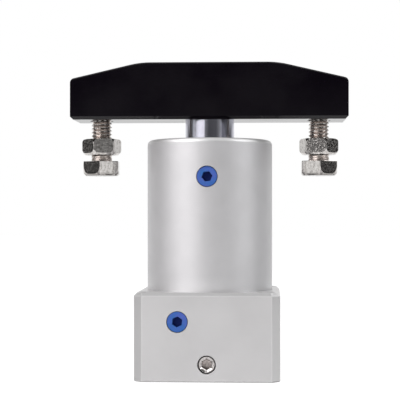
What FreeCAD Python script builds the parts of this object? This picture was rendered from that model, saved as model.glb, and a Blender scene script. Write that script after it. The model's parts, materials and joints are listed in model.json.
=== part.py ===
import FreeCAD, Part
import math
import os

from FreeCAD import Vector

# Rotary clamp cylinder. Millimetres, +Z up, origin at the centre of the base's underside.
# The clamp arm lies along X, the ports and the set screw face -Y, and the arm is drawn clamped (down).

# Base block
base_width = 40.0
base_height = 24.3
base_corner_chamfer = 2.3
base_top_chamfer = 0.9
base_bottom_chamfer = 0.3
mount_from_side = 4.0
mount_hole_diameter = 4.2
mount_hole_chamfer = 0.5
chamber_depth = 9.5
shaft_floor = 1.5

# Cylinder tube and its screwed spigot
tube_diameter = 35.6
tube_rim_radius = 1.3
bore_diameter = 25.0
spigot_diameter = 30.0
spigot_length = 5.8
spigot_end_gap = 0.2
spigot_groove_from_end = 0.8
thread_clearance = 0.05

# Travel of the piston between its two bumpers
stroke = 24.0
swing_angle = 90.0
bumper_thickness = 2.0
bumper_diameter = 22.0
lower_bumper_hole = 13.0
upper_bumper_hole = 15.0
end_gap = 0.25
head_thickness = 8.4

# Piston, its rings and its nut
piston_length = 15.0
piston_clearance = 0.15
piston_seal_width = 4.0
piston_seal_depth = 2.6
piston_seal_from_bottom = 4.0
wear_ring_width = 5.0
wear_ring_depth = 1.5
wear_ring_from_top = 0.8
ring_side_gap = 0.05
ring_bore_gap = 0.05
nut_pocket_diameter = 18.2
nut_height = 3.0
nut_flats = 15.0
nut_end_gap = 0.2

# Rod, bushing, seal and wiper
rod_diameter = 14.0
rod_spigot_diameter = 12.0
rod_bore_diameter = 9.0
rod_bore_over_shaft = 2.0
rod_flats = 12.0
rod_end_gap = 0.2
rod_end_chamfer = 0.5
bushing_diameter = 17.0
bushing_clearance = 0.03
seal_pocket_diameter = 20.0
seal_pocket_depth = 4.0
rod_seal_height = 2.2
rod_seal_clearance = 0.05
rod_seal_channel_width = 0.8
rod_seal_channel_depth = 1.2
wiper_lip_depth = 0.7

# Guide shaft with its two helical grooves, and the pins that run in them
foot_diameter = 12.0
foot_clearance = 0.02
foot_o_ring_below_chamber = 3.6
shaft_diameter = 8.8
shaft_over_pins = 5.0
shaft_end_chamfer = 0.5
pin_diameter = 3.0
pin_above_piston_bottom = 9.75
groove_side_gap = 0.12
groove_depth = 1.4
pin_tip_gap = 0.1
pin_fit = 0.01

# O-rings
o_ring_section = 1.28
o_ring_groove_width = 2.0
o_ring_groove_depth = 1.3

# Ports with their plugs, and the set screw of the guide shaft
port_thread_diameter = 5.0
port_thread_depth = 4.3
port_recess_diameter = 5.9
port_recess_depth = 1.6
port_passage_diameter = 2.0
lower_port_x = -8.0
lower_port_above_chamber_floor = 1.6
upper_port_below_top = 10.7
plug_head_diameter = 5.65
plug_head_height = 1.5
plug_shank_length = 2.4
plug_socket_flats = 2.6
plug_socket_depth = 1.9
plug_edge_chamfer = 0.2
set_screw_diameter = 5.0
set_screw_height = 4.8
set_screw_recess = 0.45
set_screw_dimple = 0.6
set_screw_socket_flats = 2.5
set_screw_socket_depth = 2.6
set_screw_chamfer = 0.35
set_screw_hole_chamfer = 0.1

# Clamp arm and the screw that holds it to the rod
arm_length = 78.3
arm_depth = 16.0
arm_height = 16.0
arm_end_height = 11.4
arm_flat_length = 38.6
arm_gap = 5.7
arm_shoulder_radius = 26.0
arm_end_radius = 1.35
arm_bottom_chamfer = 0.85
arm_edge_chamfer = 0.35
arm_pocket_depth = 6.8
arm_pocket_clearance = 0.03
arm_screw_diameter = 6.0
arm_screw_length = 12.0
arm_screw_head_diameter = 10.0
arm_screw_head_height = 6.0
arm_screw_socket_flats = 5.0
arm_screw_socket_depth = 3.0
arm_screw_head_chamfer = 0.6
arm_screw_pocket_diameter = 10.6
arm_screw_pocket_depth = 6.4
arm_screw_hole_diameter = 6.4
arm_screw_tip_gap = 1.5

# Clamp bolts and their lock nuts, with the turn of each hexagon about its own axis
bolt_from_arm_end = 8.05
bolt_diameter = 6.0
bolt_length = 20.0
bolt_exposed_length = 11.55
bolt_tip_chamfer = 0.6
bolt_hole_chamfer = 0.4
bolt_head_height = 4.15
bolt_head_flats = 10.0
bolt_head_crown = 9.3
bolt_head_chamfer_angle = 55.0
lock_nut_flats = 9.8
lock_nut_height = 4.6
lock_nut_crown = 9.6
lock_nut_chamfer_angle = 45.0
lock_nut_below_arm = 5.15
left_head_turn = 31.8
right_head_turn = 31.9
left_nut_turn = 13.0
right_nut_turn = -8.6

# Places and heights that follow from the stack of pieces
mount_offset = base_width / 2 - mount_from_side
bolt_offset = arm_length / 2 - bolt_from_arm_end
chamber_floor = base_height - chamber_depth
foot_o_ring_height = chamber_floor - foot_o_ring_below_chamber
lower_port_height = chamber_floor + lower_port_above_chamber_floor
lower_bumper_top = chamber_floor + bumper_thickness
piston_bottom = lower_bumper_top + end_gap
piston_top = piston_bottom + piston_length
upper_bumper_bottom = piston_top + stroke + end_gap
head_bottom = upper_bumper_bottom + bumper_thickness
tube_top = head_bottom + head_thickness
seal_floor = tube_top - seal_pocket_depth
spigot_bottom = base_height - spigot_length
rod_bottom = piston_bottom + nut_end_gap
pin_height = piston_bottom + pin_above_piston_bottom
shaft_top = pin_height + stroke + shaft_over_pins
rod_bore_top = shaft_top + rod_bore_over_shaft
arm_bottom = tube_top + arm_gap
arm_top = arm_bottom + arm_height
rod_top = arm_bottom + arm_pocket_depth - rod_end_gap
arm_screw_seat = arm_top - arm_screw_pocket_depth
arm_screw_tip = arm_screw_seat - arm_screw_length
upper_port_height = tube_top - upper_port_below_top
bolt_seat = arm_bottom - bolt_exposed_length
lock_nut_top = arm_bottom - lock_nut_below_arm
groove_lead = stroke * 360.0 / swing_angle
front_face = -base_width / 2
up = Vector(0, 0, 1)
margin = 1.0


def turned(*profile):
    outline = [Vector(radius, 0, height) for radius, height in profile]
    face = Part.Face(Part.makePolygon(outline + outline[:1]))
    return face.revolve(Vector(0, 0, 0), up, 360)


def cylinder(diameter, bottom, top, x=0.0, y=0.0):
    return Part.makeCylinder(diameter / 2, top - bottom, Vector(x, y, bottom))


def ring(outer, inner, bottom, top):
    return turned((inner / 2, bottom), (outer / 2, bottom), (outer / 2, top), (inner / 2, top))


def chamfered_pin(diameter, bottom, top, chamfer):
    radius = diameter / 2
    return turned((0, bottom), (radius, bottom), (radius, top - chamfer), (radius - chamfer, top), (0, top))


def hexagon(flats, bottom, top):
    corner = flats / math.sqrt(3)
    turns = [math.radians(60 * side) for side in range(7)]
    points = [Vector(corner * math.cos(turn), corner * math.sin(turn), bottom) for turn in turns]
    return Part.Face(Part.makePolygon(points)).extrude(Vector(0, 0, top - bottom))


def towards_front(piece, x, face, height):
    # A piece drawn with its outer face at z = 0, pointing up, is laid so that the face looks to -Y.
    piece.rotate(Vector(0, 0, 0), Vector(1, 0, 0), 90)
    piece.translate(Vector(x, face, height))
    return piece


def edges_where(shape, test):
    return [edge for edge in shape.Edges if test(edge)]


def lies_at(edge, height):
    return abs(edge.BoundBox.ZMin - height) < 1e-6 and abs(edge.BoundBox.ZMax - height) < 1e-6


def is_upright(edge):
    box = edge.BoundBox
    return box.XLength < 1e-6 and box.YLength < 1e-6


def o_ring(groove_floor_radius, height):
    return Part.makeTorus(groove_floor_radius + o_ring_groove_depth / 2, o_ring_section / 2,
                          Vector(0, 0, height + o_ring_groove_width / 2), up)


def port_cut(x, face, height):
    # Plug recess, threaded hole, and a passage that runs in as far as the bore's middle.
    recess = cylinder(port_recess_diameter, -port_recess_depth, margin)
    thread = cylinder(port_thread_diameter, -port_thread_depth, margin)
    passage = cylinder(port_passage_diameter, face, margin)
    return towards_front(recess.fuse([thread, passage]), x, face, height)


upper_port_face = -math.sqrt((tube_diameter / 2) ** 2 - (port_recess_diameter / 2) ** 2)


def base_block():
    half = base_width / 2
    block = Part.makeBox(base_width, base_width, base_height, Vector(-half, -half, 0))
    block = block.makeChamfer(base_corner_chamfer, edges_where(block, is_upright))
    block = block.makeChamfer(base_top_chamfer, edges_where(block, lambda edge: lies_at(edge, base_height)))
    block = block.makeChamfer(base_bottom_chamfer, edges_where(block, lambda edge: lies_at(edge, 0)))
    spigot_seat = spigot_bottom - spigot_end_gap
    cuts = [
        cylinder(foot_diameter + 2 * foot_clearance, shaft_floor, base_height),
        cylinder(bore_diameter, chamber_floor, base_height),
        cylinder(spigot_diameter, spigot_seat, base_height + margin),
        port_cut(lower_port_x, front_face, lower_port_height),
    ]
    for x in (-mount_offset, mount_offset):
        for y in (-mount_offset, mount_offset):
            cuts.append(cylinder(mount_hole_diameter, -margin, base_height + margin, x, y))
            for mouth, facing in ((0, -up), (base_height, up)):
                wide = mount_hole_diameter / 2 + mount_hole_chamfer
                cuts.append(Part.makeCone(wide, wide - mount_hole_chamfer, mount_hole_chamfer,
                                          Vector(x, y, mouth), -facing))
    screw_hole = cylinder(set_screw_diameter, front_face, margin)
    mouth_radius = set_screw_diameter / 2 + set_screw_hole_chamfer
    mouth = Part.makeCone(mouth_radius, mouth_radius - set_screw_hole_chamfer, set_screw_hole_chamfer,
                          Vector(0, 0, 0), -up)
    cuts.append(towards_front(screw_hole.fuse(mouth), 0, front_face, set_screw_height))
    return block.cut(cuts)


def cylinder_tube():
    spigot_radius = spigot_diameter / 2 - thread_clearance
    groove_floor = spigot_diameter / 2 - o_ring_groove_depth
    groove_bottom = spigot_bottom + spigot_groove_from_end
    groove_top = groove_bottom + o_ring_groove_width
    tube = turned(
        (bore_diameter / 2, spigot_bottom), (spigot_radius, spigot_bottom), (spigot_radius, groove_bottom),
        (groove_floor, groove_bottom), (groove_floor, groove_top), (spigot_radius, groove_top),
        (spigot_radius, base_height), (tube_diameter / 2, base_height), (tube_diameter / 2, tube_top),
        (seal_pocket_diameter / 2, tube_top), (seal_pocket_diameter / 2, seal_floor),
        (bushing_diameter / 2, seal_floor), (bushing_diameter / 2, head_bottom),
        (bore_diameter / 2, head_bottom))
    rim = edges_where(tube, lambda edge: lies_at(edge, tube_top)
                      and edge.BoundBox.XMax > seal_pocket_diameter / 2 + tube_rim_radius)
    tube = tube.makeFillet(tube_rim_radius, rim)
    return tube.cut(port_cut(0, upper_port_face, upper_port_height))


def tube_o_ring():
    return o_ring(spigot_diameter / 2 - o_ring_groove_depth, spigot_bottom + spigot_groove_from_end)


def groove_cut(turn):
    # The pin's path: a helix that turns by the swing angle over the stroke, left open at the shaft's top.
    start = pin_height - end_gap
    length = shaft_top - start + margin
    floor = shaft_diameter / 2 - groove_depth
    outer = shaft_diameter / 2 + margin
    half_width = pin_diameter / 2 + groove_side_gap
    slant = math.atan(math.pi * shaft_diameter / groove_lead)
    half_width_level = half_width / math.cos(slant)
    helix = Part.makeHelix(groove_lead, length, shaft_diameter / 2)
    section = Part.makePolygon([Vector(floor, -half_width_level, 0), Vector(outer, -half_width_level, 0),
                                Vector(outer, half_width_level, 0), Vector(floor, half_width_level, 0),
                                Vector(floor, -half_width_level, 0)])
    slot = Part.Wire(helix).makePipeShell([section], True, True)
    lower_end = Part.makeCylinder(half_width, outer - floor, Vector(floor, 0, 0), Vector(1, 0, 0))
    cut = slot.fuse(lower_end)
    cut.rotate(Vector(0, 0, 0), up, turn - 360 * end_gap / groove_lead)
    cut.translate(Vector(0, 0, start))
    return cut


def guide_shaft():
    foot_radius = foot_diameter / 2
    shaft_radius = shaft_diameter / 2
    groove_floor = foot_radius - o_ring_groove_depth
    groove_top = foot_o_ring_height + o_ring_groove_width
    shaft = turned(
        (0, shaft_floor), (foot_radius, shaft_floor), (foot_radius, foot_o_ring_height),
        (groove_floor, foot_o_ring_height), (groove_floor, groove_top), (foot_radius, groove_top),
        (foot_radius, chamber_floor), (shaft_radius, chamber_floor),
        (shaft_radius, shaft_top - shaft_end_chamfer),
        (shaft_radius - shaft_end_chamfer, shaft_top), (0, shaft_top))
    dimple = cylinder(set_screw_diameter, -set_screw_dimple, margin)
    dimple = towards_front(dimple, 0, -foot_radius, set_screw_height)
    return shaft.cut([groove_cut(0), groove_cut(180), dimple])


def shaft_o_ring():
    return o_ring(foot_diameter / 2 - o_ring_groove_depth, foot_o_ring_height)


def shaft_set_screw():
    length = base_width / 2 - set_screw_recess - (foot_diameter / 2 - set_screw_dimple)
    screw = chamfered_pin(set_screw_diameter - 2 * thread_clearance, -length, 0, set_screw_chamfer)
    screw = screw.cut(hexagon(set_screw_socket_flats, -set_screw_socket_depth, margin))
    return towards_front(screw, 0, front_face + set_screw_recess, set_screw_height)


def port_plug(x, face, height):
    shank_radius = port_thread_diameter / 2 - thread_clearance
    head_radius = plug_head_diameter / 2
    head_bottom_face = -plug_head_height
    shank_bottom = head_bottom_face - plug_shank_length
    plug = turned((0, shank_bottom), (shank_radius, shank_bottom), (shank_radius, head_bottom_face),
                  (head_radius, head_bottom_face), (head_radius, -plug_edge_chamfer),
                  (head_radius - plug_edge_chamfer, 0), (0, 0))
    plug = plug.cut(hexagon(plug_socket_flats, -plug_socket_depth, margin))
    seated = face + port_recess_depth - plug_head_height
    return towards_front(plug, x, seated, height)


def rod_bushing():
    return ring(bushing_diameter, rod_diameter + 2 * bushing_clearance, head_bottom, seal_floor)


def rod_seal():
    outer = seal_pocket_diameter / 2
    inner = rod_diameter / 2 + rod_seal_clearance
    bottom = seal_floor
    top = seal_floor + rod_seal_height
    channel_middle = (outer + inner) / 2
    channel_inner = channel_middle - rod_seal_channel_width / 2
    channel_outer = channel_middle + rod_seal_channel_width / 2
    channel_top = bottom + rod_seal_channel_depth
    return turned((inner, bottom), (channel_inner, bottom), (channel_inner, channel_top),
                  (channel_outer, channel_top), (channel_outer, bottom), (outer, bottom),
                  (outer, top), (inner, top))


def rod_wiper():
    outer = seal_pocket_diameter / 2
    inner = rod_diameter / 2 + rod_seal_clearance
    bottom = seal_floor + rod_seal_height
    slope_foot = outer - (tube_top - bottom) / 2
    return turned((inner, bottom), (outer, bottom), (outer, tube_top - wiper_lip_depth),
                  (slope_foot, tube_top - wiper_lip_depth), (inner, tube_top))


def bumper(hole, bottom):
    return ring(bumper_diameter, hole, bottom, bottom + bumper_thickness)


piston_radius = bore_diameter / 2 - piston_clearance
seal_bottom = piston_bottom + piston_seal_from_bottom
seal_top = seal_bottom + piston_seal_width
seal_floor_radius = piston_radius - piston_seal_depth
wear_top = piston_top - wear_ring_from_top
wear_bottom = wear_top - wear_ring_width
wear_floor_radius = piston_radius - wear_ring_depth
piston_bore_groove = wear_bottom + (wear_ring_width - o_ring_groove_width) / 2
nut_pocket_top = rod_bottom + nut_height


def piston():
    bore_radius = rod_spigot_diameter / 2
    bore_groove_radius = bore_radius + o_ring_groove_depth
    bore_groove_top = piston_bore_groove + o_ring_groove_width
    pocket_radius = nut_pocket_diameter / 2
    return turned(
        (bore_radius, nut_pocket_top), (pocket_radius, nut_pocket_top), (pocket_radius, piston_bottom),
        (piston_radius, piston_bottom), (piston_radius, seal_bottom), (seal_floor_radius, seal_bottom),
        (seal_floor_radius, seal_top), (piston_radius, seal_top), (piston_radius, wear_bottom),
        (wear_floor_radius, wear_bottom), (wear_floor_radius, wear_top), (piston_radius, wear_top),
        (piston_radius, piston_top), (bore_radius, piston_top), (bore_radius, bore_groove_top),
        (bore_groove_radius, bore_groove_top), (bore_groove_radius, piston_bore_groove),
        (bore_radius, piston_bore_groove))


def piston_o_ring():
    return o_ring(rod_spigot_diameter / 2, piston_bore_groove)


def piston_ring(floor_radius, bottom, top):
    return ring(bore_diameter - 2 * ring_bore_gap, 2 * (floor_radius + ring_side_gap),
                bottom + ring_side_gap, top - ring_side_gap)


def piston_nut():
    nut = hexagon(nut_flats, rod_bottom, nut_pocket_top)
    hole_diameter = rod_spigot_diameter + 2 * thread_clearance
    return nut.cut(cylinder(hole_diameter, rod_bottom - margin, nut_pocket_top + margin))


def double_flat(diameter, flats, bottom, top):
    band = Part.makeBox(2 * diameter, flats, top - bottom, Vector(-diameter, -flats / 2, bottom))
    return cylinder(diameter, bottom, top).common(band)


def piston_rod():
    rod_radius = rod_diameter / 2
    spigot_radius = rod_spigot_diameter / 2
    lower = turned((0, rod_bottom), (spigot_radius, rod_bottom), (spigot_radius, piston_top),
                   (rod_radius, piston_top), (rod_radius, arm_bottom), (0, arm_bottom))
    upper = double_flat(rod_diameter, rod_flats, arm_bottom, rod_top)
    upper = upper.common(chamfered_pin(rod_diameter, arm_bottom, rod_top, rod_end_chamfer))
    pin_hole = Part.makeCylinder(pin_diameter / 2 + pin_fit, 2 * rod_radius,
                                 Vector(-rod_radius, 0, pin_height), Vector(1, 0, 0))
    return lower.fuse(upper).removeSplitter().cut([
        cylinder(rod_bore_diameter, rod_bottom - margin, rod_bore_top),
        cylinder(arm_screw_diameter, arm_screw_tip - arm_screw_tip_gap, rod_top + margin),
        pin_hole])


def guide_pins():
    inner = shaft_diameter / 2 - groove_depth + pin_tip_gap
    outer = math.sqrt((rod_spigot_diameter / 2) ** 2 - (pin_diameter / 2) ** 2) - pin_tip_gap
    right = Part.makeCylinder(pin_diameter / 2, outer - inner,
                              Vector(inner, 0, pin_height), Vector(1, 0, 0))
    left = right.mirror(Vector(0, 0, 0), Vector(1, 0, 0))
    return Part.makeCompound([right, left])


def clamp_arm():
    half_length = arm_length / 2
    half_flat = arm_flat_length / 2
    end_top = arm_bottom + arm_end_height
    front = -arm_depth / 2
    outline = [Vector(-half_length, front, arm_bottom), Vector(half_length, front, arm_bottom),
               Vector(half_length, front, end_top), Vector(half_flat, front, arm_top),
               Vector(-half_flat, front, arm_top), Vector(-half_length, front, end_top)]
    arm = Part.Face(Part.makePolygon(outline + outline[:1])).extrude(Vector(0, arm_depth, 0))

    def crosses_at(edge, height):
        return abs(edge.BoundBox.YLength - arm_depth) < 1e-6 and lies_at(edge, height)

    arm = arm.makeFillet(arm_shoulder_radius, edges_where(arm, lambda edge: crosses_at(edge, arm_top)))
    arm = arm.makeFillet(arm_end_radius, edges_where(arm, lambda edge: crosses_at(edge, end_top)))
    arm = arm.makeChamfer(arm_bottom_chamfer, edges_where(arm, lambda edge: lies_at(edge, arm_bottom)))

    def rims_a_side(edge):
        box = edge.BoundBox
        return box.YLength < 1e-6 and box.ZMin > arm_bottom + arm_bottom_chamfer / 2 and not (
            lies_at(edge, arm_bottom + arm_bottom_chamfer))

    arm = arm.makeChamfer(arm_edge_chamfer, edges_where(arm, rims_a_side))
    cuts = [
        double_flat(rod_diameter + 2 * arm_pocket_clearance, rod_flats + 2 * arm_pocket_clearance,
                    arm_bottom - margin, arm_bottom + arm_pocket_depth),
        cylinder(arm_screw_hole_diameter, arm_bottom, arm_top),
        cylinder(arm_screw_pocket_diameter, arm_screw_seat, arm_top + margin),
    ]
    for x in (-bolt_offset, bolt_offset):
        cuts.append(cylinder(bolt_diameter, arm_bottom - margin, arm_top + margin, x))
        wide = bolt_diameter / 2 + bolt_hole_chamfer
        mouth = Vector(x, 0, arm_bottom)
        cuts.append(Part.makeCone(wide, wide - bolt_hole_chamfer, bolt_hole_chamfer, mouth, up))
    return arm.cut(cuts)


def arm_screw():
    head_radius = arm_screw_head_diameter / 2
    shank_radius = arm_screw_diameter / 2 - thread_clearance
    head_top = arm_screw_seat + arm_screw_head_height
    screw = turned((0, arm_screw_tip), (shank_radius, arm_screw_tip), (shank_radius, arm_screw_seat),
                   (head_radius, arm_screw_seat), (head_radius, head_top - arm_screw_head_chamfer),
                   (head_radius - arm_screw_head_chamfer, head_top), (0, head_top))
    return screw.cut(hexagon(arm_screw_socket_flats, head_top - arm_screw_socket_depth, head_top + margin))


def rounded_hexagon(flats, bottom, top, crown_diameter, chamfer_angle, both_ends):
    # The corners are turned off by a cone, at the lower end and, on a nut, at the upper end too.
    corner = flats / math.sqrt(3)
    crown = crown_diameter / 2
    rise = (corner - crown) * math.tan(math.radians(chamfer_angle))
    upper = [(corner, top - rise), (crown, top)] if both_ends else [(corner, top)]
    return hexagon(flats, bottom, top).common(
        turned((0, bottom), (crown, bottom), (corner, bottom + rise), *upper, (0, top)))


def clamp_bolt(x, turn):
    shank_diameter = bolt_diameter - 2 * thread_clearance
    head = rounded_hexagon(bolt_head_flats, bolt_seat - bolt_head_height, bolt_seat,
                           bolt_head_crown, bolt_head_chamfer_angle, False)
    shank = chamfered_pin(shank_diameter, bolt_seat, bolt_seat + bolt_length, bolt_tip_chamfer)
    bolt = head.fuse(shank)
    bolt.rotate(Vector(0, 0, 0), up, turn)
    bolt.translate(Vector(x, 0, 0))
    return bolt


def lock_nut(x, turn):
    bottom = lock_nut_top - lock_nut_height
    nut = rounded_hexagon(lock_nut_flats, bottom, lock_nut_top,
                          lock_nut_crown, lock_nut_chamfer_angle, True)
    nut = nut.cut(cylinder(bolt_diameter, bottom - margin, lock_nut_top + margin))
    nut.rotate(Vector(0, 0, 0), up, turn)
    nut.translate(Vector(x, 0, 0))
    return nut


pieces = {
    "base_block": base_block(),
    "cylinder_tube": cylinder_tube(),
    "tube_o_ring": tube_o_ring(),
    "guide_shaft": guide_shaft(),
    "shaft_o_ring": shaft_o_ring(),
    "shaft_set_screw": shaft_set_screw(),
    "port_plug_upper": port_plug(0, upper_port_face, upper_port_height),
    "port_plug_lower": port_plug(lower_port_x, front_face, lower_port_height),
    "lower_bumper": bumper(lower_bumper_hole, chamber_floor),
    "upper_bumper": bumper(upper_bumper_hole, upper_bumper_bottom),
    "rod_bushing": rod_bushing(),
    "rod_seal": rod_seal(),
    "rod_wiper": rod_wiper(),
    "piston": piston(),
    "piston_o_ring": piston_o_ring(),
    "piston_nut": piston_nut(),
    "piston_seal": piston_ring(seal_floor_radius, seal_bottom, seal_top),
    "wear_ring": piston_ring(wear_floor_radius, wear_bottom, wear_top),
    "piston_rod": piston_rod(),
    "guide_pins": guide_pins(),
    "clamp_arm": clamp_arm(),
    "arm_screw": arm_screw(),
    "left_clamp_bolt": clamp_bolt(-bolt_offset, left_head_turn),
    "right_clamp_bolt": clamp_bolt(bolt_offset, right_head_turn),
    "left_lock_nut": lock_nut(-bolt_offset, left_nut_turn),
    "right_lock_nut": lock_nut(bolt_offset, right_nut_turn),
}

os.makedirs("parts", exist_ok=True)
for name, shape in pieces.items():
    shape.exportStep(f"parts/{name}.step")
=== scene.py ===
import json
import math
import bpy
from mathutils import Matrix, Vector


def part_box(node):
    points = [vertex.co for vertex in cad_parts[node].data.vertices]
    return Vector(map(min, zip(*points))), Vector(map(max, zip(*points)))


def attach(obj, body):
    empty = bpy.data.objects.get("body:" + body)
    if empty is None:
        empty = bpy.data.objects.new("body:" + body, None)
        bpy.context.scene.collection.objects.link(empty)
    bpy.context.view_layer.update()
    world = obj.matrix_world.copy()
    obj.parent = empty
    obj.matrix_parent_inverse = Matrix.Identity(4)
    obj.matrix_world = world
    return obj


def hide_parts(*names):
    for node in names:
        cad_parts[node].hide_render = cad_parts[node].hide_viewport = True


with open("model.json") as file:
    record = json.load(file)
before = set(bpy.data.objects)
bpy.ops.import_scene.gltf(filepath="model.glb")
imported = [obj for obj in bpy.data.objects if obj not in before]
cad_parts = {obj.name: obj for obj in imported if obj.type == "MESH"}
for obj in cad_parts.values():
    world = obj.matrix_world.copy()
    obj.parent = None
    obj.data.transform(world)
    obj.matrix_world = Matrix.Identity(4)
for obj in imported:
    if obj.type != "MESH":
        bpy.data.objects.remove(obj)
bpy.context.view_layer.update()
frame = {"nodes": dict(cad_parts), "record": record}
mm = 0.001
nodes = frame["nodes"]
record = frame["record"]
bodyOf = {node: body for body, members in record["behaviour"]["bodies"].items() for node in members}
slotOf = {row["node"]: row["material_slot"] for row in record["subparts"]}
print("frame loaded:", len(nodes), "nodes")


class Wire:  # one shader value: arithmetic on wires adds Math nodes
    def __init__(self, finish, socket):
        self.finish = finish
        self.socket = socket

    def __add__(self, other): return self.finish.calc("ADD", self, other)
    def __radd__(self, other): return self.finish.calc("ADD", other, self)
    def __sub__(self, other): return self.finish.calc("SUBTRACT", self, other)
    def __rsub__(self, other): return self.finish.calc("SUBTRACT", other, self)
    def __mul__(self, other): return self.finish.calc("MULTIPLY", self, other)
    def __rmul__(self, other): return self.finish.calc("MULTIPLY", other, self)
    def __truediv__(self, other): return self.finish.calc("DIVIDE", self, other)
    def __rtruediv__(self, other): return self.finish.calc("DIVIDE", other, self)


class Finish:  # a node tree and the one method that adds nodes to it
    def __init__(self, owner):
        owner.use_nodes = True
        self.owner = owner
        self.tree = owner.node_tree
        self.tree.nodes.clear()

    def add(self, kind, settings=None, sockets=None, out=0):
        node = self.tree.nodes.new(kind)
        for key, value in (settings or {}).items():
            if key == "stops":
                ramp = node.color_ramp
                while len(ramp.elements) < len(value):
                    ramp.elements.new(0.5)
                for element, (place, level) in zip(ramp.elements, value):
                    element.position = place
                    element.color = colour(grey(level))
            else:
                setattr(node, key, value)
        for key, value in (sockets or {}).items():
            if isinstance(value, Wire):
                self.tree.links.new(value.socket, node.inputs[key])
            else:
                node.inputs[key].default_value = value
        return Wire(self, node.outputs[out]) if node.outputs else None

    def calc(self, operation, *terms):
        return self.add("ShaderNodeMath", {"operation": operation}, dict(enumerate(terms)))

    def place(self):  # where a point is on the object, in metres
        return self.add("ShaderNodeTexCoord", out="Object")

    def facing(self):  # which way the surface looks
        return self.axes(self.add("ShaderNodeTexCoord", out="Normal"))

    def hollow(self):  # how deep a point lies in a socket or a thread, from 0 to 1
        return self.add("ShaderNodeAttribute", {"attribute_name": "hollow"}, out="Fac")

    def rays(self):  # the camera's own rays, mirrored ones and those let through
        kinds = ("Is Camera Ray", "Is Glossy Ray", "Is Transmission Ray")
        return [self.add("ShaderNodeLightPath", out=kind) for kind in kinds]

    def axes(self, vector):
        first = self.add("ShaderNodeSeparateXYZ", {}, {0: vector})
        return [Wire(self, socket) for socket in first.socket.node.outputs]

    def stretch(self, vector, shares):
        return self.add("ShaderNodeVectorMath", {"operation": "MULTIPLY"}, {0: vector, 1: shares})

    def noise(self, vector, perMm, detail=2.0, rough=0.5):
        sockets = {"Vector": vector, "Scale": perMm / mm, "Detail": detail, "Roughness": rough}
        return self.add("ShaderNodeTexNoise", {}, sockets)

    def ramp(self, value, low, high, start=0.0, end=1.0):
        sockets = {"Value": value, "From Min": low, "From Max": high, "To Min": start, "To Max": end}
        return self.add("ShaderNodeMapRange", {"interpolation_type": "SMOOTHSTEP"}, sockets)

    def blend(self, factor, first, second):
        sockets = {0: factor, 6: colour(first), 7: colour(second)}
        return self.add("ShaderNodeMix", {"data_type": "RGBA"}, sockets, 2)

    def bump(self, height, depth, strength):
        sockets = {"Height": height, "Distance": depth * mm, "Strength": strength}
        return self.add("ShaderNodeBump", {}, sockets)

    def surface(self, sockets):
        shader = self.add("ShaderNodeBsdfPrincipled", {}, sockets)
        self.add("ShaderNodeOutputMaterial", {}, {"Surface": shader})
        return self.owner


def colour(value):
    return value if isinstance(value, Wire) else (*value, 1)


def grey(level):
    return (level,) * 3


def toned(tone, share):
    return tuple(channel * share for channel in tone)


def newFinish(name):
    return Finish(bpy.data.materials.new(name))


# In the finishes: sizes in mm, a roughness pair runs over a noise, a span is where a mask starts and ends
white, black = grey(1), grey(0)
noiseSpan = (0.2, 0.8)  # holds nearly all values of a noise
roundTheAxis = 0.25  # anisotropic rotation of marks left by turning and grinding

# turned and clear anodised tube: fine rings round the axis, a soft cloudy tone, a smoother top rim with a
# painted highlight, painted light towards the foot
tubeLook = {"tone": (0.516, 0.513, 0.521), "cloudTone": 0.92, "cloudPerMm": 0.18, "cloudSpan": (0.25, 0.75),
            "ringsPerMm": 6.0, "ringStretch": (0.01, 0.01, 1), "ringShare": 0.4, "ringDepth": 0.004,
            "ringStrength": 0.5, "metallic": 0.75, "roughness": (0.495, 0.595), "lathe": 0.40,
            "rimStart": (0.1, 0.35), "rimEnd": (0.93, 0.99), "rimHighlightTone": 0.57, "rimRoughness": 0.46,
            "footHeight": 5.0, "footPaintedLight": 0.13}


def turnedAluminium(look):
    f = newFinish("turned_aluminium")
    p = f.place()
    rings = f.noise(f.stretch(p, look["ringStretch"]), look["ringsPerMm"], detail=3.0, rough=0.6)
    cloud = f.noise(p, look["cloudPerMm"], detail=3.0)
    mottle = f.ramp(cloud * (1 - look["ringShare"]) + rings * look["ringShare"], *look["cloudSpan"])
    tone = f.blend(mottle, toned(look["tone"], look["cloudTone"]), look["tone"])
    up = f.facing()[2]
    # painted highlight: faces turned partly up, on the rounded top rim, take a lighter colour
    rim = f.ramp(up, *look["rimStart"]) * f.ramp(up, *look["rimEnd"], 1, 0)
    satin = f.ramp(rings, *noiseSpan, *look["roughness"])
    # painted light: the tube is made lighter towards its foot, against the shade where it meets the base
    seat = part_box("base_block")[1].z
    foot = f.ramp(f.axes(p)[2], seat, seat + look["footHeight"] * mm, look["footPaintedLight"], 0)
    return f.surface({
        "Base Color": f.blend(foot, f.blend(rim, tone, grey(look["rimHighlightTone"])), white),
        "Metallic": look["metallic"],
        "Roughness": satin * (1 - rim) + rim * look["rimRoughness"],
        "Anisotropic": look["lathe"],
        "Anisotropic Rotation": roundTheAxis,
        "Normal": f.bump(rings, look["ringDepth"], look["ringStrength"]),
    })


# blasted and clear anodised base: even satin with a fine grain, milled chamfers a little smoother with
# painted shade by the way they face, a painted highlight along the chamfer edges, painted shade towards the
# bottom
baseLook = {"tone": (0.581, 0.577, 0.579), "cloudTone": 0.92, "cloudPerMm": 0.09, "cloudSpan": (0.25, 0.75),
            "grainPerMm": 7.0, "grainShare": 0.3, "grainDepth": 0.01, "grainStrength": 0.5,
            "metallic": 0.8, "roughness": (0.39, 0.51), "chamferRoughness": 0.36,
            "leftChamferShade": 0.85, "rightChamferShade": 0.96, "topChamferShade": 0.78, "cornerChamferShade": 0.60,
            "milledSpan": (0.80, 0.95), "rightSpan": (-0.1, 0.1), "topSpan": (0.2, 0.5),
            "cornerSpan": (0.2, 0.4), "corner": 2.3, "topEdge": 0.9, "edgeWidth": 0.3, "edgeHighlightTone": 0.16,
            "footShade": 0.075}


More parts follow.
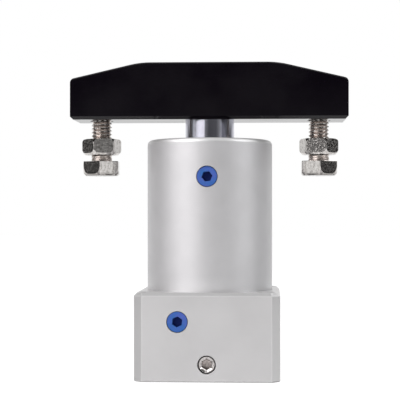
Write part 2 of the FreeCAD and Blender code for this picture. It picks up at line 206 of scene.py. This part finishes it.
def blastedAluminium(look):
    f = newFinish("blasted_aluminium")
    p = f.place()
    grain = f.noise(p, look["grainPerMm"], rough=0.6)
    cloud = f.noise(p, look["cloudPerMm"], detail=3.0)
    mottle = f.ramp(cloud * (1 - look["grainShare"]) + grain * look["grainShare"], *look["cloudSpan"])
    tone = f.blend(mottle, toned(look["tone"], look["cloudTone"]), look["tone"])
    facing = f.facing()
    x, y, z = [f.calc("ABSOLUTE", side) for side in facing]
    milled = f.ramp(f.calc("MAXIMUM", x, f.calc("MAXIMUM", y, z)), *look["milledSpan"], 1, 0)
    # painted shade on the milled chamfers by the way they face: the left darker than the right, the top
    # darker, the top right corner facet darkest
    left, right, top, point = [toned(look["tone"], look[key])
                               for key in ("leftChamferShade", "rightChamferShade", "topChamferShade", "cornerChamferShade")]
    onRight = f.ramp(facing[0], *look["rightSpan"])
    upper = f.blend(f.ramp(f.calc("MINIMUM", x, y), *look["cornerSpan"]) * onRight, top, point)
    chamferShade = f.blend(f.ramp(z, *look["topSpan"]), f.blend(onRight, left, right), upper)
    satin = f.ramp(grain, *noiseSpan, *look["roughness"])
    low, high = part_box("base_block")
    acrossX, acrossY, height = f.axes(p)
    foot = f.ramp(height, low.z, high.z, look["footShade"], 0) * (1 + milled)
    # painted highlight: a thin lighter line where the front and side faces meet the corner and top chamfers
    nearer = f.calc("MINIMUM", f.calc("ABSOLUTE", acrossX), f.calc("ABSOLUTE", acrossY))
    fromCorner = f.calc("ABSOLUTE", nearer - (high.x - look["corner"] * mm))
    fromTop = f.calc("ABSOLUTE", height - (high.z - look["topEdge"] * mm))
    wearAndHighlight = f.ramp(f.calc("MINIMUM", fromCorner, fromTop), 0, look["edgeWidth"] * mm, look["edgeHighlightTone"], 0)
    return f.surface({
        "Base Color": f.blend(foot, f.blend(wearAndHighlight, f.blend(milled, tone, chamferShade), white), black),
        "Metallic": look["metallic"],
        "Roughness": satin * (1 - milled) + milled * look["chamferRoughness"],
        "Normal": f.bump(grain, look["grainDepth"], look["grainStrength"]),
    })


# smooth black arm: deep gloss with a trace of orange peel and handling haze
armLook = {"tone": (0.0015, 0.0009, 0.0021), "haze": (0.0028, 0.0021, 0.0034), "hazePerMm": 0.07,
           "hazeSpan": (0.35, 0.75), "roughness": (0.07, 0.15), "gloss": 0.34,
           "peelPerMm": 0.9, "peelDepth": 0.01, "peelStrength": 0.15}


def blackEnamel(look):
    f = newFinish("black_enamel")
    p = f.place()
    haze = f.ramp(f.noise(p, look["hazePerMm"], detail=4.0), *look["hazeSpan"])
    peel = f.noise(p, look["peelPerMm"])
    return f.surface({
        "Base Color": f.blend(haze, look["tone"], look["haze"]),
        "Roughness": f.ramp(haze, 0, 1, *look["roughness"]),
        "Specular IOR Level": look["gloss"],
        "Normal": f.bump(peel, look["peelDepth"], look["peelStrength"]),
    })


# ground and chromed rod: mirror-like round its axis, faint bluish smears, two dark streaks of painted
# reflection along its front
rodLook = {"tone": (0.53, 0.53, 0.595), "smear": (0.50, 0.505, 0.57), "darkReflection": (0.10, 0.10, 0.13),
           "smearPerMm": 0.6, "smearSpan": (0.35, 0.70), "smearDepth": 0.001, "smearStrength": 0.015,
           "reflectionStreaks": ({"turn": 36.5, "core": 3, "reach": 11, "share": 0.85},
                       {"turn": 9, "core": 8, "reach": 14, "share": 0.48}),
           "roughness": (0.18, 0.20), "lathe": 0.97}


def hardChrome(look):
    f = newFinish("hard_chrome")
    p = f.place()
    smear = f.ramp(f.noise(p, look["smearPerMm"]), *look["smearSpan"])
    x, y = f.axes(p)[:2]
    turn = f.calc("ARCTAN2", x, 0 - y) * math.degrees(1)
    # painted reflection: two dark bands at set turns round the axis
    darkReflection = 0
    for streak in look["reflectionStreaks"]:
        off = f.calc("ABSOLUTE", turn - streak["turn"])
        darkReflection = f.ramp(off, streak["core"], streak["reach"], streak["share"], 0) + darkReflection
    return f.surface({
        "Base Color": f.blend(darkReflection, f.blend(smear, look["tone"], look["smear"]), look["darkReflection"]),
        "Metallic": 1.0,
        "Roughness": f.ramp(smear, 0, 1, *look["roughness"]),
        "Anisotropic": look["lathe"],
        "Anisotropic Rotation": roundTheAxis,
        "Normal": f.bump(smear, look["smearDepth"], look["smearStrength"]),
    })


# cold-formed stainless steel: bright, with drawing marks, small dents and pits, and grime with painted shade
# in the hollows
steelLook = {"tone": (0.60, 0.58, 0.56), "stain": (0.38, 0.355, 0.335), "grimeAndShade": (0.49, 0.43, 0.395),
             "roughness": (0.06, 0.12)}
screwLook = {"tone": (0.53, 0.505, 0.495), "stain": (0.36, 0.34, 0.33), "grimeAndShade": (0.34, 0.28, 0.26),
             "roughness": (0.09, 0.15)}
marring = {"marksPerMm": 2.4, "markStretch": (1, 1, 0.125), "markSpan": (0.45, 0.8), "dentsPerMm": 1.5,
           "spotSpan": (0.50, 0.68), "pitsPerMm": 3.0, "pitSpan": (0.51, 0.64), "dentDepth": 0.05,
           "dentStrength": 0.3, "pitStrength": 0.3, "hollowRoughness": 0.3, "pitRoughness": 0.3}
wear = {
    "stainless_bolts": {"pits": 0.15, "spots": 0.15, "scuff": 0.72},
    "stainless_nuts": {"pits": 0.54, "spots": 0.48, "scuff": 0},
    "stainless_set_screw": {"pits": 0.60, "spots": 0.30, "scuff": 0},
}
scuff = {"tone": (0.16, 0.15, 0.14), "height": 1.2}  # on the clamping ends of the bolts


def stainless(name, look):
    f = newFinish(name)
    p = f.add("ShaderNodeVectorMath", {"operation": "ABSOLUTE"}, {0: f.place()})
    wearAndHighlight = wear[name]
    hollow = f.hollow()
    marks = f.noise(f.stretch(p, marring["markStretch"]), marring["marksPerMm"], detail=3.0)
    dents = f.noise(p, marring["dentsPerMm"], detail=3.0)
    pits = f.ramp(f.noise(p, marring["pitsPerMm"]), *marring["pitSpan"]) * wearAndHighlight["pits"]
    drawn = f.blend(f.ramp(marks, *marring["markSpan"]), look["tone"], look["stain"])
    spotted = f.blend(f.ramp(dents, *marring["spotSpan"]) * wearAndHighlight["spots"], drawn, scuff["tone"])
    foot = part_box("left_clamp_bolt")[0].z
    scuffed = f.ramp(f.axes(p)[2], foot, foot + scuff["height"] * mm, wearAndHighlight["scuff"], 0)
    satin = f.ramp(marks, *noiseSpan, *look["roughness"])
    strength = marring["dentStrength"] + marring["pitStrength"] * wearAndHighlight["pits"]
    # grime and painted shade: points deep in a thread, bore or socket take a darker, browner colour
    return f.surface({
        "Base Color": f.blend(scuffed, f.blend(hollow, spotted, look["grimeAndShade"]), scuff["tone"]),
        "Metallic": 1.0,
        "Roughness": satin + hollow * marring["hollowRoughness"] + pits * marring["pitRoughness"],
        "Normal": f.bump(dents - pits, marring["dentDepth"], strength),
    })


# moulded plugs: satin, with pale flow marks, painted shade in the hexagon sockets
plugLook = {"tone": (0.018, 0.080, 0.262), "pale": (0.044, 0.076, 0.290), "socketShadeTone": (0.0004, 0.012, 0.11),
            "flowPerMm": 0.42, "flowSpan": (0.3, 0.7), "finePerMm": 5.2, "fineDepth": 0.01,
            "fineStrength": 0.3, "roughness": (0.32, 0.46), "hollowRoughness": 0.3, "gloss": 0.2}


def bluePlastic(look):
    f = newFinish("blue_plastic")
    p = f.place()
    flow = f.ramp(f.noise(p, look["flowPerMm"], detail=3.0), *look["flowSpan"])
    fine = f.noise(p, look["finePerMm"])
    hollow = f.hollow()
    # painted shade: the sockets take a deep navy colour
    return f.surface({
        "Base Color": f.blend(hollow, f.blend(flow, look["tone"], look["pale"]), look["socketShadeTone"]),
        "Roughness": f.ramp(fine, *noiseSpan, *look["roughness"]) + hollow * look["hollowRoughness"],
        "Specular IOR Level": look["gloss"],
        "Normal": f.bump(fine, look["fineDepth"], look["fineStrength"]),
    })


# the pieces inside, and the screw in the arm's top
innerLooks = {
    "black_oxide_screw": {"tone": (0.020, 0.020, 0.022), "roughness": 0.42, "metallic": 0.6},
    "seal_rubber": {"tone": (0.016, 0.016, 0.017), "roughness": 0.62, "metallic": 0.0},
    "bumper_rubber": {"tone": (0.050, 0.050, 0.050), "roughness": 0.70, "metallic": 0.0},
    "bronze_bushing": {"tone": (0.45, 0.30, 0.15), "roughness": 0.45, "metallic": 1.0},
    "piston_aluminium": {"tone": (0.65, 0.65, 0.66), "roughness": 0.35, "metallic": 1.0},
    "wear_ring_plastic": {"tone": (0.16, 0.09, 0.05), "roughness": 0.55, "metallic": 0.0},
    "hardened_steel": {"tone": (0.42, 0.42, 0.43), "roughness": 0.28, "metallic": 1.0},
}
innerGrain = {"perMm": 2.6, "wornSpan": (0.5, 0.9), "wornTone": 1.5, "satin": 0.08, "depth": 0.01,
              "strength": 0.3}


def grained(name, look):
    f = newFinish(name)
    grain = f.noise(f.place(), innerGrain["perMm"], detail=3.0)
    wearAndHighlight = toned(look["tone"], innerGrain["wornTone"])
    satin = (look["roughness"] - innerGrain["satin"], look["roughness"] + innerGrain["satin"])
    return f.surface({
        "Base Color": f.blend(f.ramp(grain, *innerGrain["wornSpan"]), look["tone"], wearAndHighlight),
        "Metallic": look["metallic"],
        "Roughness": f.ramp(grain, *noiseSpan, *satin),
        "Normal": f.bump(grain, innerGrain["depth"], innerGrain["strength"]),
    })


finishes = {
    "tube_aluminium": turnedAluminium(tubeLook),
    "base_aluminium": blastedAluminium(baseLook),
    "black_enamel": blackEnamel(armLook),
    "hard_chrome": hardChrome(rodLook),
    "stainless_bolts": stainless("stainless_bolts", steelLook),
    "stainless_nuts": stainless("stainless_nuts", steelLook),
    "stainless_set_screw": stainless("stainless_set_screw", screwLook),
    "blue_plastic": bluePlastic(plugLook),
}
for slot, look in innerLooks.items():
    finishes[slot] = grained(slot, look)
for name, node in nodes.items():
    node.data.materials.clear()
    node.data.materials.append(finishes[slotOf[name]])
print("finishes made:", len(finishes))

# Mesh helpers, in mm: a shell is a stack of rings about +Z, each with a radius and a height for every angle.
# A hexagon's steps are degrees from the middle of a flat, close together at the corners.
sector = math.radians(60)
hexSteps = (-30, -29.5, -29, -28.4, -25.5, -22, -14, -7, 0, 7, 14, 22, 25.5, 28.4, 29, 29.5)


def evenAngles(count):
    return [math.tau * step / count for step in range(count)]


def hexAngles():
    return [math.radians(30 + 60 * side + step) for side in range(6) for step in hexSteps]


def hexRadius(flats, corner):  # a hexagon with rounded corners
    apothem = flats / 2
    centre = (apothem - corner) / math.cos(sector / 2)
    flatEnd = math.atan2((apothem - corner) * math.tan(sector / 2), apothem)

    def radius(angle):
        fromFace = abs(angle % sector - sector / 2)
        if fromFace <= flatEnd:
            return apothem / math.cos(fromFace)
        across = sector / 2 - fromFace
        return centre * math.cos(across) + math.sqrt(corner ** 2 - (centre * math.sin(across)) ** 2)
    return radius


def crownRise(outline, flats, rim, bulge):  # a chamfer that is low on the flats and climbs at the corners
    def rise(angle):
        return rim + bulge * (outline(angle) - flats / 2) ** 3
    return rise


def roundedEdge(radius, look):  # a quarter turn from the end face to the side
    bends = [math.radians(90 * step / look["roundSteps"]) for step in range(look["roundSteps"] + 1)]
    return [(radius - look["round"] * (1 - math.sin(bend)), look["round"] * (math.cos(bend) - 1))
            for bend in bends]


def at(value, angle):
    return value(angle) if callable(value) else value


def shell(rings, angles, closed=False):
    points, faces, rows = [], [], []
    for radius, height in rings:
        if not callable(radius) and radius == 0:
            rows.append([len(points)] * len(angles))
            points.append((0, 0, height))
            continue
        rows.append(list(range(len(points), len(points) + len(angles))))
        for angle in angles:
            r = at(radius, angle)
            points.append((r * math.cos(angle), r * math.sin(angle), at(height, angle)))
    pairs = list(zip(rows, rows[1:])) + ([(rows[-1], rows[0])] if closed else [])
    for low, high in pairs:
        for step in range(len(angles)):
            after = (step + 1) % len(angles)
            face = [low[step], low[after], high[after], high[step]]
            faces.append(list(dict.fromkeys(face)))
    return points, faces


def stitched(lower, upper, lowerAngles, upperAngles):  # flat band between two shells
    start = len(lower[0])
    faces = lower[1] + [[start + index for index in face] for face in upper[1]]
    low = list(range(start - len(lowerAngles), start)) + [start - len(lowerAngles)]
    high = list(range(start, start + len(upperAngles))) + [start]
    lowTurns, highTurns = lowerAngles + [math.tau], upperAngles + [math.tau]
    onLow = onHigh = 0
    while onLow + onHigh < len(lowerAngles) + len(upperAngles):
        lowLeft = onLow < len(lowerAngles)
        if lowLeft and (onHigh == len(upperAngles) or lowTurns[onLow + 1] <= highTurns[onHigh + 1]):
            faces.append([low[onLow], low[onLow + 1], high[onHigh]])
            onLow += 1
        else:
            faces.append([low[onLow], high[onHigh + 1], high[onHigh]])
            onHigh += 1
    return lower[0] + upper[0], faces


def piece(name, shape, place, standsFor, hollow, sharp):
    points, faces = shape
    mesh = bpy.data.meshes.new(name)
    mesh.from_pydata([Vector(point) * mm for point in points], [], faces)
    mesh.transform(place)
    layer = mesh.attributes.new("hollow", "FLOAT", "POINT")
    layer.data.foreach_set("value", [hollow(math.hypot(x, y), z) for x, y, z in points])
    mesh.validate()
    mesh.shade_smooth()
    mesh.set_sharp_from_angle(angle=math.radians(sharp))
    made = bpy.data.objects.new(name, mesh)
    bpy.context.scene.collection.objects.link(made)
    slot = slotOf[standsFor]
    mesh.materials.append(finishes[slot])
    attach(made, bodyOf[standsFor])
    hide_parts(standsFor)


def upright(x, z, turn=0.0):
    return Matrix.Translation(Vector((x, 0, z))) @ Matrix.Rotation(math.radians(turn), 4, "Z")


def facingFront(x, y, z, turn):  # +Z of the shell looks to -Y
    spin = Matrix.Rotation(math.radians(turn), 4, "Z")
    return Matrix.Translation(Vector((x, y, z))) @ Matrix.Rotation(math.radians(90), 4, "X") @ spin


def middle(node):
    low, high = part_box(node)
    return (low + high) / 2


# thread: crest, flank and root as a height over the unrolled helix
threadForm = {"flank": 0.375, "crest": 0.17}  # shares of the pitch and of the flank


def threadRings(look, bottom, top):
    crest = look["threadRadius"]
    depth = look["threadDepth"]
    pitch = look["pitch"]
    rows = math.ceil((top - bottom) / pitch * look["rowsPerTurn"])

    def ringAt(height):
        fade = min(1, (height - bottom) / look["runOut"])
        taper = look["tipChamfer"] * max(0, 1 - (top - height) / look["tipLength"])

        def radius(angle):
            phase = (height / pitch - angle / math.tau) % 1
            fromCrest = 0.5 - abs(phase - 0.5)
            groove = min(1, max(0, fromCrest / threadForm["flank"] - threadForm["crest"]))
            return min(crest - depth * fade * groove, crest - taper)
        return radius, height
    return [ringAt(bottom + (top - bottom) * row / rows) for row in range(rows + 1)]


# hexagon socket: a sunk and slightly tapered floor, a lip at the mouth
socketForm = {"floorDip": 0.08, "floorTaper": 0.96, "shadeReach": 0.6}


def socketRings(look):
    depth, lip = look["socketDepth"], look["lip"]
    wall = hexRadius(look["socketFlats"], look["socketCorner"])
    mouth = hexRadius(look["socketFlats"] + 2 * lip, look["socketCorner"] + lip)
    return [(0, -depth - socketForm["floorDip"]),
            (lambda angle: wall(angle) * socketForm["floorTaper"], -depth), (wall, -lip), (mouth, 0)]


def socketShade(look):
    def inside(radius, height):
        within = radius < socketForm["shadeReach"] * look["socketFlats"]
        return min(1, max(0, -height / look["shadeDepth"])) if within else 0
    return inside


# clamp bolts: hexagon heads down, threaded all the way
boltLook = {"flats": 10.0, "corner": 0.22, "headHeight": 4.15, "crownRadius": 4.62, "crownRim": 0.5,
            "crownBulge": 5, "threadRadius": 2.95, "threadDepth": 0.55, "pitch": 1.0, "runOut": 4.0,
            "tipChamfer": 0.6, "tipLength": 0.6, "rowsPerTurn": 12, "columns": 48, "edge": 0.12, "sharp": 20,
            "turns": {"left_clamp_bolt": 31.8, "right_clamp_bolt": 31.9}}


def clampBolt(node, turn, look):
    low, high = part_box(node)
    head = look["headHeight"]
    top = (high.z - low.z) / mm
    outline = hexRadius(look["flats"], look["corner"])
    crown = look["crownRadius"]
    crownHeight = crownRise(outline, look["flats"], look["crownRim"], look["crownBulge"])
    edge = look["edge"]
    rings = [(0, 0), (crown - edge, 0), (crown, edge / 2), (outline, crownHeight), (outline, head - edge),
             (lambda angle: outline(angle) - edge, head), (look["threadRadius"] + edge, head)]
    thread = threadRings(look, head, top) + [(0, top)]
    corners, turns = hexAngles(), evenAngles(look["columns"])
    shape = stitched(shell(rings, corners), shell(thread, turns), corners, turns)

    def root(radius, height):  # grime and painted shade in the thread, most of it near the head
        groove = max(0, look["threadRadius"] - radius) / look["threadDepth"]
        stub = max(0, 1 - (height - head) / look["runOut"])
        return max(groove, stub) if head < height < top else 0
    piece("bolt_" + node.split("_")[0], shape, upright(middle(node).x, low.z, turn),
          node, root, look["sharp"])


for node, turn in boltLook["turns"].items():
    clampBolt(node, turn, boltLook)
print("bolts made")

# lock nuts: chamfered at both ends, more at the lower one
nutLook = {"flats": 9.8, "corner": 0.30, "holeRadius": 3.0, "mouthRadius": 3.35, "mouthDepth": 0.35,
           "crownRadius": 4.66, "lowerRim": 0.5, "lowerBulge": 2.6, "upperRim": 0.1, "upperBulge": 2.2,
           "sharp": 20, "turns": {"left_lock_nut": 13.0, "right_lock_nut": -10.4}}


def lockNut(node, turn, look):
    low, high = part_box(node)
    height = (high.z - low.z) / mm
    outline = hexRadius(look["flats"], look["corner"])
    crown, hole, mouth = look["crownRadius"], look["holeRadius"], look["mouthRadius"]
    lowerRise = crownRise(outline, look["flats"], look["lowerRim"], look["lowerBulge"])
    upperFall = crownRise(outline, look["flats"], look["upperRim"], look["upperBulge"])
    rings = [(hole, look["mouthDepth"]), (mouth, 0), (crown, 0), (outline, lowerRise),
             (outline, lambda angle: height - upperFall(angle)), (crown, height), (mouth, height),
             (hole, height - look["mouthDepth"])]

    def bore(radius, level):
        return 1 if radius < (hole + mouth) / 2 else 0
    piece("nut_" + node.split("_")[0], shell(rings, hexAngles(), True), upright(middle(node).x, low.z, turn),
          node, bore, look["sharp"])


for node, turn in nutLook["turns"].items():
    lockNut(node, turn, nutLook)
print("nuts made")

# port plugs: flush heads with a hexagon socket
plugShape = {"socketFlats": 2.6, "socketCorner": 0.15, "socketDepth": 1.9, "lip": 0.12, "shadeDepth": 0.95,
             "round": 0.2, "roundSteps": 5, "headHeight": 1.5, "shankRadius": 2.45, "sharp": 32,
             "turns": {"port_plug_upper": 8, "port_plug_lower": 24}}


def portPlug(node, turn, look):
    low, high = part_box(node)
    radius = (high.x - low.x) / 2 / mm
    length = (high.y - low.y) / mm
    shank, head = look["shankRadius"], look["headHeight"]
    rings = socketRings(look) + roundedEdge(radius, look)
    rings += [(radius, -head), (shank, -head), (shank, -length), (0, -length)]
    centre = middle(node)
    piece(node + "_moulding", shell(rings[::-1], hexAngles()), facingFront(centre.x, low.y, centre.z, turn),
          node, socketShade(look), look["sharp"])


for node, turn in plugShape["turns"].items():
    portPlug(node, turn, plugShape)
print("plugs made")

# set screw in the base's front, threaded, with a dished end and a hexagon socket
screwShape = {"socketFlats": 2.5, "socketCorner": 0.10, "socketDepth": 2.6, "lip": 0.24, "shadeDepth": 5.2,
              "threadRadius": 2.45, "threadDepth": 0.40, "pitch": 0.8, "runOut": 0.5, "tipChamfer": 0.28,
              "tipLength": 1.0, "rowsPerTurn": 10, "columns": 48, "faceRadius": 1.97, "dish": 0.25,
              "turn": 28, "sharp": 32}


def setScrew(node, look):
    low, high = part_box(node)
    length = (high.y - low.y) / mm
    socket = [(radius, height - look["dish"]) for radius, height in socketRings(look)]
    face = [(look["faceRadius"], 0)] + socket[::-1]
    thread = [(0, -length)] + threadRings(look, -length, 0)
    corners, turns = hexAngles(), evenAngles(look["columns"])
    shape = stitched(shell(thread, turns), shell(face, corners), turns, corners)
    centre = middle(node)
    piece("set_screw", shape, facingFront(centre.x, low.y, centre.z, look["turn"]),
          node, socketShade(look), look["sharp"])


setScrew("shaft_set_screw", screwShape)
print("set screw made")

# cap screw in the arm's top, with a knurled head
capShape = {"socketFlats": 5.0, "socketCorner": 0.2, "socketDepth": 3.0, "lip": 0.15, "shadeDepth": 3.0,
            "round": 0.6, "roundSteps": 4, "headHeight": 6.0, "shankRadius": 2.95, "footChamfer": 0.2,
            "knurls": 42, "knurlColumns": 6, "knurlDepth": 0.12, "knurlTop": 0.9, "knurlRunIn": 0.1,
            "knurlRunOut": 0.3, "sharp": 32}


def capScrew(node, look):
    low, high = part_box(node)
    radius = (high.x - low.x) / 2 / mm
    length = (high.z - low.z) / mm
    shank, head, top = look["shankRadius"], look["headHeight"], look["knurlTop"]

    def knurled(angle):
        return radius - look["knurlDepth"] * (0.5 + 0.5 * math.cos(angle * look["knurls"]))
    rings = socketRings(look) + roundedEdge(radius, look)
    rings += [(radius, -top), (knurled, -top - look["knurlRunIn"]), (knurled, -head + look["knurlRunOut"]),
              (radius - look["footChamfer"], -head), (shank, -head), (shank, -length), (0, -length)]
    angles = evenAngles(look["knurls"] * look["knurlColumns"])
    piece("arm_cap_screw", shell(rings[::-1], angles), upright(0, high.z),
          node, socketShade(look), look["sharp"])


capScrew("arm_screw", capShape)
print("cap screw made")

# Stage, in metres: a pale floor, soft boxes on the left, on the right and behind, a white surround
stageLook = {"floorSize": 6.0, "bounceTone": 0.80, "bounceGlow": 0.25, "shownTone": 0.30, "shownGlow": 0.87,
             "nearFront": 0.15, "farFront": 0.40, "nearTone": 0.97, "frontTone": 0.12, "backGlow": 0.22,
             "backSpan": (0.0, 0.3)}


def paleFloor(look):
    half = look["floorSize"] / 2
    mesh = bpy.data.meshes.new("floor")
    corners = [(-half, -half, 0), (half, -half, 0), (half, half, 0), (-half, half, 0)]
    mesh.from_pydata(corners, [], [(0, 1, 2, 3)])
    floor = bpy.data.objects.new("floor", mesh)
    bpy.context.scene.collection.objects.link(floor)
    f = newFinish("pale_floor")
    seen, shiny, through = f.rays()
    spot = f.add("ShaderNodeNewGeometry", out="Position")
    reach = f.add("ShaderNodeVectorMath", {"operation": "LENGTH"}, {0: spot}, "Value")
    behind = f.ramp(f.axes(spot)[1], *look["backSpan"])
    fade = f.ramp(reach, look["nearFront"], look["farFront"], look["nearTone"], look["frontTone"])
    mirrored = behind + (1 - behind) * fade
    kept = 1 - (shiny + through) * (1 - mirrored)
    pale = f.add("ShaderNodeBsdfDiffuse", {}, {"Color": f.blend(look["bounceTone"] * kept, black, white)})
    lifted = look["bounceGlow"] * kept + look["backGlow"] * behind * shiny
    lift = f.add("ShaderNodeEmission", {}, {"Strength": lifted})
    bounce = f.add("ShaderNodeAddShader", {}, {0: pale, 1: lift})
    matte = f.add("ShaderNodeBsdfDiffuse", {}, {"Color": colour(grey(look["shownTone"]))})
    glow = f.add("ShaderNodeEmission", {}, {"Strength": look["shownGlow"]})
    shown = f.add("ShaderNodeAddShader", {}, {0: matte, 1: glow})
    both = f.add("ShaderNodeMixShader", {}, {0: seen, 1: bounce, 2: shown})
    f.add("ShaderNodeOutputMaterial", {}, {"Surface": both})
    mesh.materials.append(f.owner)


paleFloor(stageLook)

# soft boxes, by the turn from the front and the rise in degrees
lampLook = {
    "key": {"turn": -46.5, "rise": 33, "size": (0.64, 0.58), "power": 5.7, "tint": (1, 0.975, 0.985)},
    "right": {"turn": 73, "rise": 33, "size": (0.38, 0.58), "power": 2.4, "tint": (0.985, 0.985, 1)},
    "rim": {"turn": 130, "rise": 52, "size": (0.36, 0.36), "power": 0.6, "tint": (1, 1, 1)},
}
lampAim = {"at": Vector((0, 0, 0.05)), "far": 0.75}


def softBox(name, look):
    turn = math.radians(look["turn"])
    rise = math.radians(look["rise"])
    way = Vector((math.sin(turn) * math.cos(rise), -math.cos(turn) * math.cos(rise), math.sin(rise)))
    lamp = bpy.data.lights.new(name, "AREA")
    lamp.shape = "RECTANGLE"
    lamp.size, lamp.size_y = look["size"]
    lamp.energy = look["power"]
    lamp.color = look["tint"]
    box = bpy.data.objects.new(name, lamp)
    bpy.context.scene.collection.objects.link(box)
    box.location = lampAim["at"] + way * lampAim["far"]
    box.rotation_euler = (-way).to_track_quat("-Z", "Y").to_euler()


for name, look in lampLook.items():
    softBox(name, look)

# what metal mirrors, by the turn from the front in degrees: the room, and white cards at the object's height
surroundLook = {"frontLight": 1.06, "backLight": 0.10, "lightSpan": (-0.9, 0.4), "ceiling": 0.85,
                "ceilingSpan": (0.45, 0.80), "cardRise": (0.055, 0.105),
                "roomTones": {-180: 1.1, -160: 1.05, -135: 0.95, -115: 0.04, -60: 0.03, -30: 0.05, 0: 0.03,
                              40: 0.06, 63: 0.03, 115: 0.04, 140: 0.95, 160: 1.05, 180: 1.1},
                "cardTones": {-180: 0, -93: 0, -89: 0.3, -80: 2.2, -72: 2.0, -67: 0, -61: 0, -56: 1.15,
                              -40: 1.15, -30: 0.25, -10: 0.20, 18: 0.33, 45: 0.50, 50: 1.1, 58: 1.1, 63: 0,
                              68: 0, 73: 0.8, 81: 1.0, 89: 0.2, 93: 0, 180: 0}}


def surround(look):
    world = bpy.data.worlds.new("surround")
    bpy.context.scene.world = world
    f = Finish(world)
    x, y, z = f.axes(f.add("ShaderNodeTexCoord", out="Generated"))
    seen, shiny, through = f.rays()
    turn = f.calc("ARCTAN2", x, 0 - y) / math.tau + 0.5

    def around(tones):
        stops = [(degrees / 360 + 0.5, tone) for degrees, tone in tones.items()]
        return f.add("ShaderNodeValToRGB", {"stops": stops}, {0: turn})
    level = f.ramp(f.calc("ABSOLUTE", z), *look["cardRise"], 1, 0)
    high = f.ramp(z, *look["ceilingSpan"])
    walls = around(look["roomTones"]) + around(look["cardTones"]) * level
    studio = walls * (1 - high) + high * look["ceiling"]
    mirrored = (shiny + through) * (1 - seen)
    ambient = f.ramp(y, *look["lightSpan"], look["frontLight"], look["backLight"])
    strength = seen + mirrored * studio + (1 - seen) * (1 - mirrored) * ambient
    glow = f.add("ShaderNodeBackground", {}, {"Color": colour(white), "Strength": strength})
    f.add("ShaderNodeOutputWorld", {}, {"Surface": glow})


surround(surroundLook)
print("stage made")

# Camera at the photograph's place, in metres: nearly level, a little to the right of the front
cameraLook = {"turn": 2.65, "far": 0.3682, "eyeHeight": 0.0444, "lens": 115.7, "sensor": 36.0,
              "shift": (-0.0247, 0.0471), "near": 0.01}


def photoCamera(look):
    data = bpy.data.cameras.new("photo_camera")
    data.lens = look["lens"]
    data.sensor_width = look["sensor"]
    data.shift_x, data.shift_y = look["shift"]
    data.clip_start = look["near"]
    camera = bpy.data.objects.new("photo_camera", data)
    bpy.context.scene.collection.objects.link(camera)
    turn = math.radians(look["turn"])
    camera.location = (math.sin(turn) * look["far"], -math.cos(turn) * look["far"], look["eyeHeight"])
    camera.rotation_euler = (math.radians(90), 0, turn)
    bpy.context.scene.camera = camera


photoCamera(cameraLook)
bpy.context.scene.view_settings.view_transform = "Standard"
